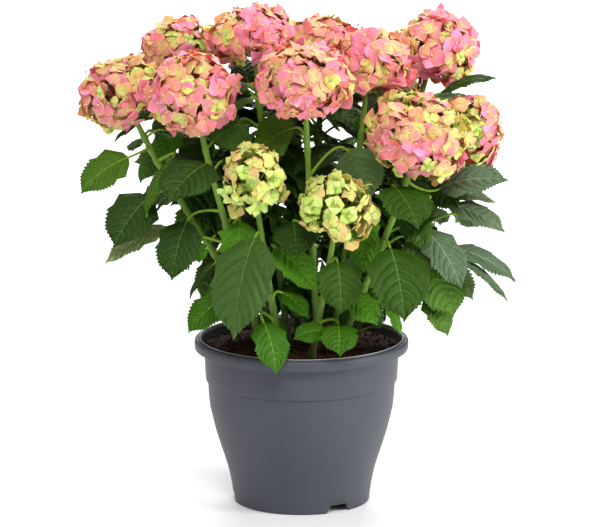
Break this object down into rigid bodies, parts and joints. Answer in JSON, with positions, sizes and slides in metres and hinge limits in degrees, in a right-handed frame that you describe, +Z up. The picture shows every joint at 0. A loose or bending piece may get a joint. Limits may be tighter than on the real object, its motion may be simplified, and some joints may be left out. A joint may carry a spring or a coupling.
{
  "type": "potted hydrangea shrub",
  "caption": "Mophead hydrangea shrub in a round nursery pot, with pink blooms, a pair of lime-cream ones still opening, and broad toothed leaves.",
  "frame": {"origin": "middle of the flat underside of the pot", "axes": "+Z up along the pot's axis; -Y towards the plant's front, where the two small lime blooms are"},
  "size_m": [0.5892, 0.4746, 0.6782],
  "materials": {
    "pot": "satin slate-grey moulded plastic",
    "compost": "loose dark brown crumbs",
    "cane": "smooth green stem, browner at the foot",
    "foliage": "green leaves, slightly glossy above and paler below",
    "bloom_pink": "soft matt pink petals with cream edges",
    "bloom_green": "soft matt lime-cream petals"
  },
  "bodies": {
    "root": {"pot": "pot", "compost": "compost", "cane_far_left": "cane", "foliage_far_left": "foliage", "bloom_far_left": "bloom_pink", "cane_left_front": "cane", "foliage_left_front": "foliage", "bloom_left_front": "bloom_pink", "cane_left_back": "cane", "foliage_left_back": "foliage", "bloom_left_back": "bloom_pink", "cane_top_left": "cane", "foliage_top_left": "foliage", "bloom_top_left": "bloom_pink", "cane_front": "cane", "foliage_front": "foliage", "bloom_front": "bloom_pink", "cane_top_back": "cane", "foliage_top_back": "foliage", "bloom_top_back": "bloom_pink", "cane_centre": "cane", "foliage_centre": "foliage", "bloom_centre": "bloom_pink", "cane_right_top": "cane", "foliage_right_top": "foliage", "bloom_right_top": "bloom_pink", "cane_right_front": "cane", "foliage_right_front": "foliage", "bloom_right_front": "bloom_pink", "cane_far_right": "cane", "foliage_far_right": "foliage", "bloom_far_right": "bloom_pink", "cane_green_left": "cane", "foliage_green_left": "foliage", "bloom_green_left": "bloom_green", "cane_green_right": "cane", "foliage_green_right": "foliage", "bloom_green_right": "bloom_green", "cane_back_left": "cane", "foliage_back_left": "foliage", "bloom_back_left": "bloom_pink", "cane_back": "cane", "foliage_back": "foliage", "bloom_back": "bloom_pink", "cane_back_right": "cane", "foliage_back_right": "foliage", "bloom_back_right": "bloom_pink"}
  },
  "joints": []
}
